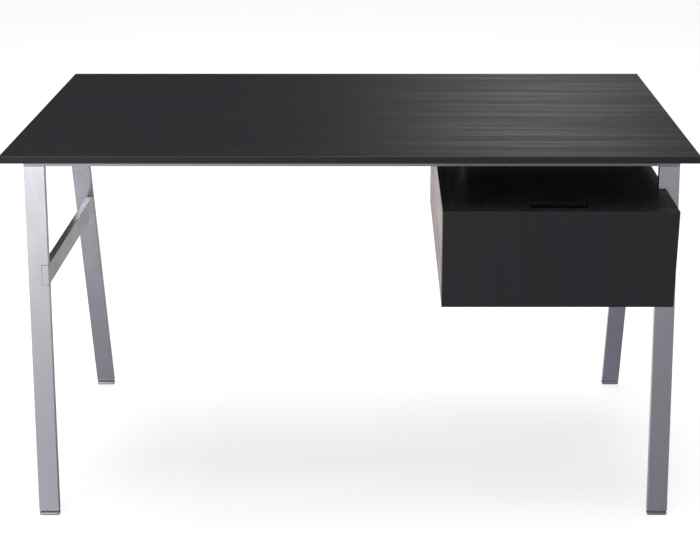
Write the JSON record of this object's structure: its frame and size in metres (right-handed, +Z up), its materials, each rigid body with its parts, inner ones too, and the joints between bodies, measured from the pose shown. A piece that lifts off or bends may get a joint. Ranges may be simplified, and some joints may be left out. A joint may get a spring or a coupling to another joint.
{
  "type": "writing desk with drawer",
  "caption": "Writing desk with a thin black timber top on a flat-bar steel A-frame; a drawer cabinet with a finger pull sits in the right-hand legs and slides open.",
  "frame": {"origin": "on the floor, under the middle of the desktop", "axes": "+X along the desktop towards the drawer cabinet, -Y towards the sitter, +Z up"},
  "size_m": [1.22, 0.61, 0.74],
  "materials": {
    "black_stained_timber": "open-grain timber, black stain, satin lacquer",
    "brushed_flat_bar": "hot-rolled flat bar, linished satin and clear coated",
    "brass_insert": "plain turned",
    "zinc_screw": "bright zinc plate",
    "nylon_glide": "moulded nylon, matt",
    "beech_dowel": "fluted beech, unfinished",
    "clear_bumper": "soft translucent silicone",
    "slide_steel": "cold-rolled steel, bright zinc plate",
    "birch_drawer_board": "birch, clear satin lacquer"
  },
  "bodies": {
    "desk": {"desktop": "black_stained_timber", "desktop_inserts": "brass_insert", "desktop_screws": "zinc_screw", "fixing_tabs": "brushed_flat_bar", "front_rail": "brushed_flat_bar", "rear_rail": "brushed_flat_bar", "left_side_rail": "brushed_flat_bar", "right_side_rail": "brushed_flat_bar", "hanger_rail": "brushed_flat_bar", "left_front_leg": "brushed_flat_bar", "left_rear_leg": "brushed_flat_bar", "right_front_leg": "brushed_flat_bar", "right_rear_leg": "brushed_flat_bar", "left_crossbar": "brushed_flat_bar", "right_crossbar": "brushed_flat_bar", "leg_end_plates": "brushed_flat_bar", "cabinet_hangers": "brushed_flat_bar", "hanger_screws": "zinc_screw", "crossbar_screws": "zinc_screw", "cabinet_left_panel": "black_stained_timber", "cabinet_right_panel": "black_stained_timber", "cabinet_top_panel": "black_stained_timber", "cabinet_bottom_panel": "black_stained_timber", "cabinet_back_panel": "black_stained_timber", "cabinet_dowels": "beech_dowel", "front_bumpers": "clear_bumper", "left_slide_cabinet_member": "slide_steel", "right_slide_cabinet_member": "slide_steel", "slide_cabinet_screws": "zinc_screw"},
    "drawer": {"drawer_front": "black_stained_timber", "drawer_front_screws": "zinc_screw", "drawer_inner_front": "birch_drawer_board", "drawer_back": "birch_drawer_board", "drawer_left_side": "birch_drawer_board", "drawer_right_side": "birch_drawer_board", "drawer_bottom": "birch_drawer_board", "drawer_dowels": "beech_dowel", "left_slide_drawer_member": "slide_steel", "right_slide_drawer_member": "slide_steel", "slide_drawer_screws": "zinc_screw"},
    "left_slide_middle": {"left_slide_middle_member": "slide_steel"},
    "right_slide_middle": {"right_slide_middle_member": "slide_steel"},
    "left_front_foot": {"left_front_foot": "brushed_flat_bar", "left_front_glide": "nylon_glide"},
    "left_rear_foot": {"left_rear_foot": "brushed_flat_bar", "left_rear_glide": "nylon_glide"},
    "right_front_foot": {"right_front_foot": "brushed_flat_bar", "right_front_glide": "nylon_glide"},
    "right_rear_foot": {"right_rear_foot": "brushed_flat_bar", "right_rear_glide": "nylon_glide"}
  },
  "joints": [
    {"name": "drawer_slide", "type": "slide", "parent": "desk", "child": "drawer", "axis": [0, -1, 0], "range_m": [0, 0.48]},
    {"name": "left_slide_middle_travel", "type": "slide", "parent": "desk", "child": "left_slide_middle", "axis": [0, -1, 0], "range_m": [0, 0.24]},
    {"name": "right_slide_middle_travel", "type": "slide", "parent": "desk", "child": "right_slide_middle", "axis": [0, -1, 0], "range_m": [0, 0.24]},
    {"name": "left_front_foot_level", "type": "slide", "parent": "desk", "child": "left_front_foot", "axis": [0, 0, -1], "range_m": [-0.003, 0.004]},
    {"name": "left_rear_foot_level", "type": "slide", "parent": "desk", "child": "left_rear_foot", "axis": [0, 0, -1], "range_m": [-0.003, 0.004]},
    {"name": "right_front_foot_level", "type": "slide", "parent": "desk", "child": "right_front_foot", "axis": [0, 0, -1], "range_m": [-0.003, 0.004]},
    {"name": "right_rear_foot_level", "type": "slide", "parent": "desk", "child": "right_rear_foot", "axis": [0, 0, -1], "range_m": [-0.003, 0.004]}
  ],
  "couplings": [
    {"joint": "left_slide_middle_travel", "follows": "drawer_slide", "ratio": 0.5},
    {"joint": "right_slide_middle_travel", "follows": "drawer_slide", "ratio": 0.5}
  ]
}
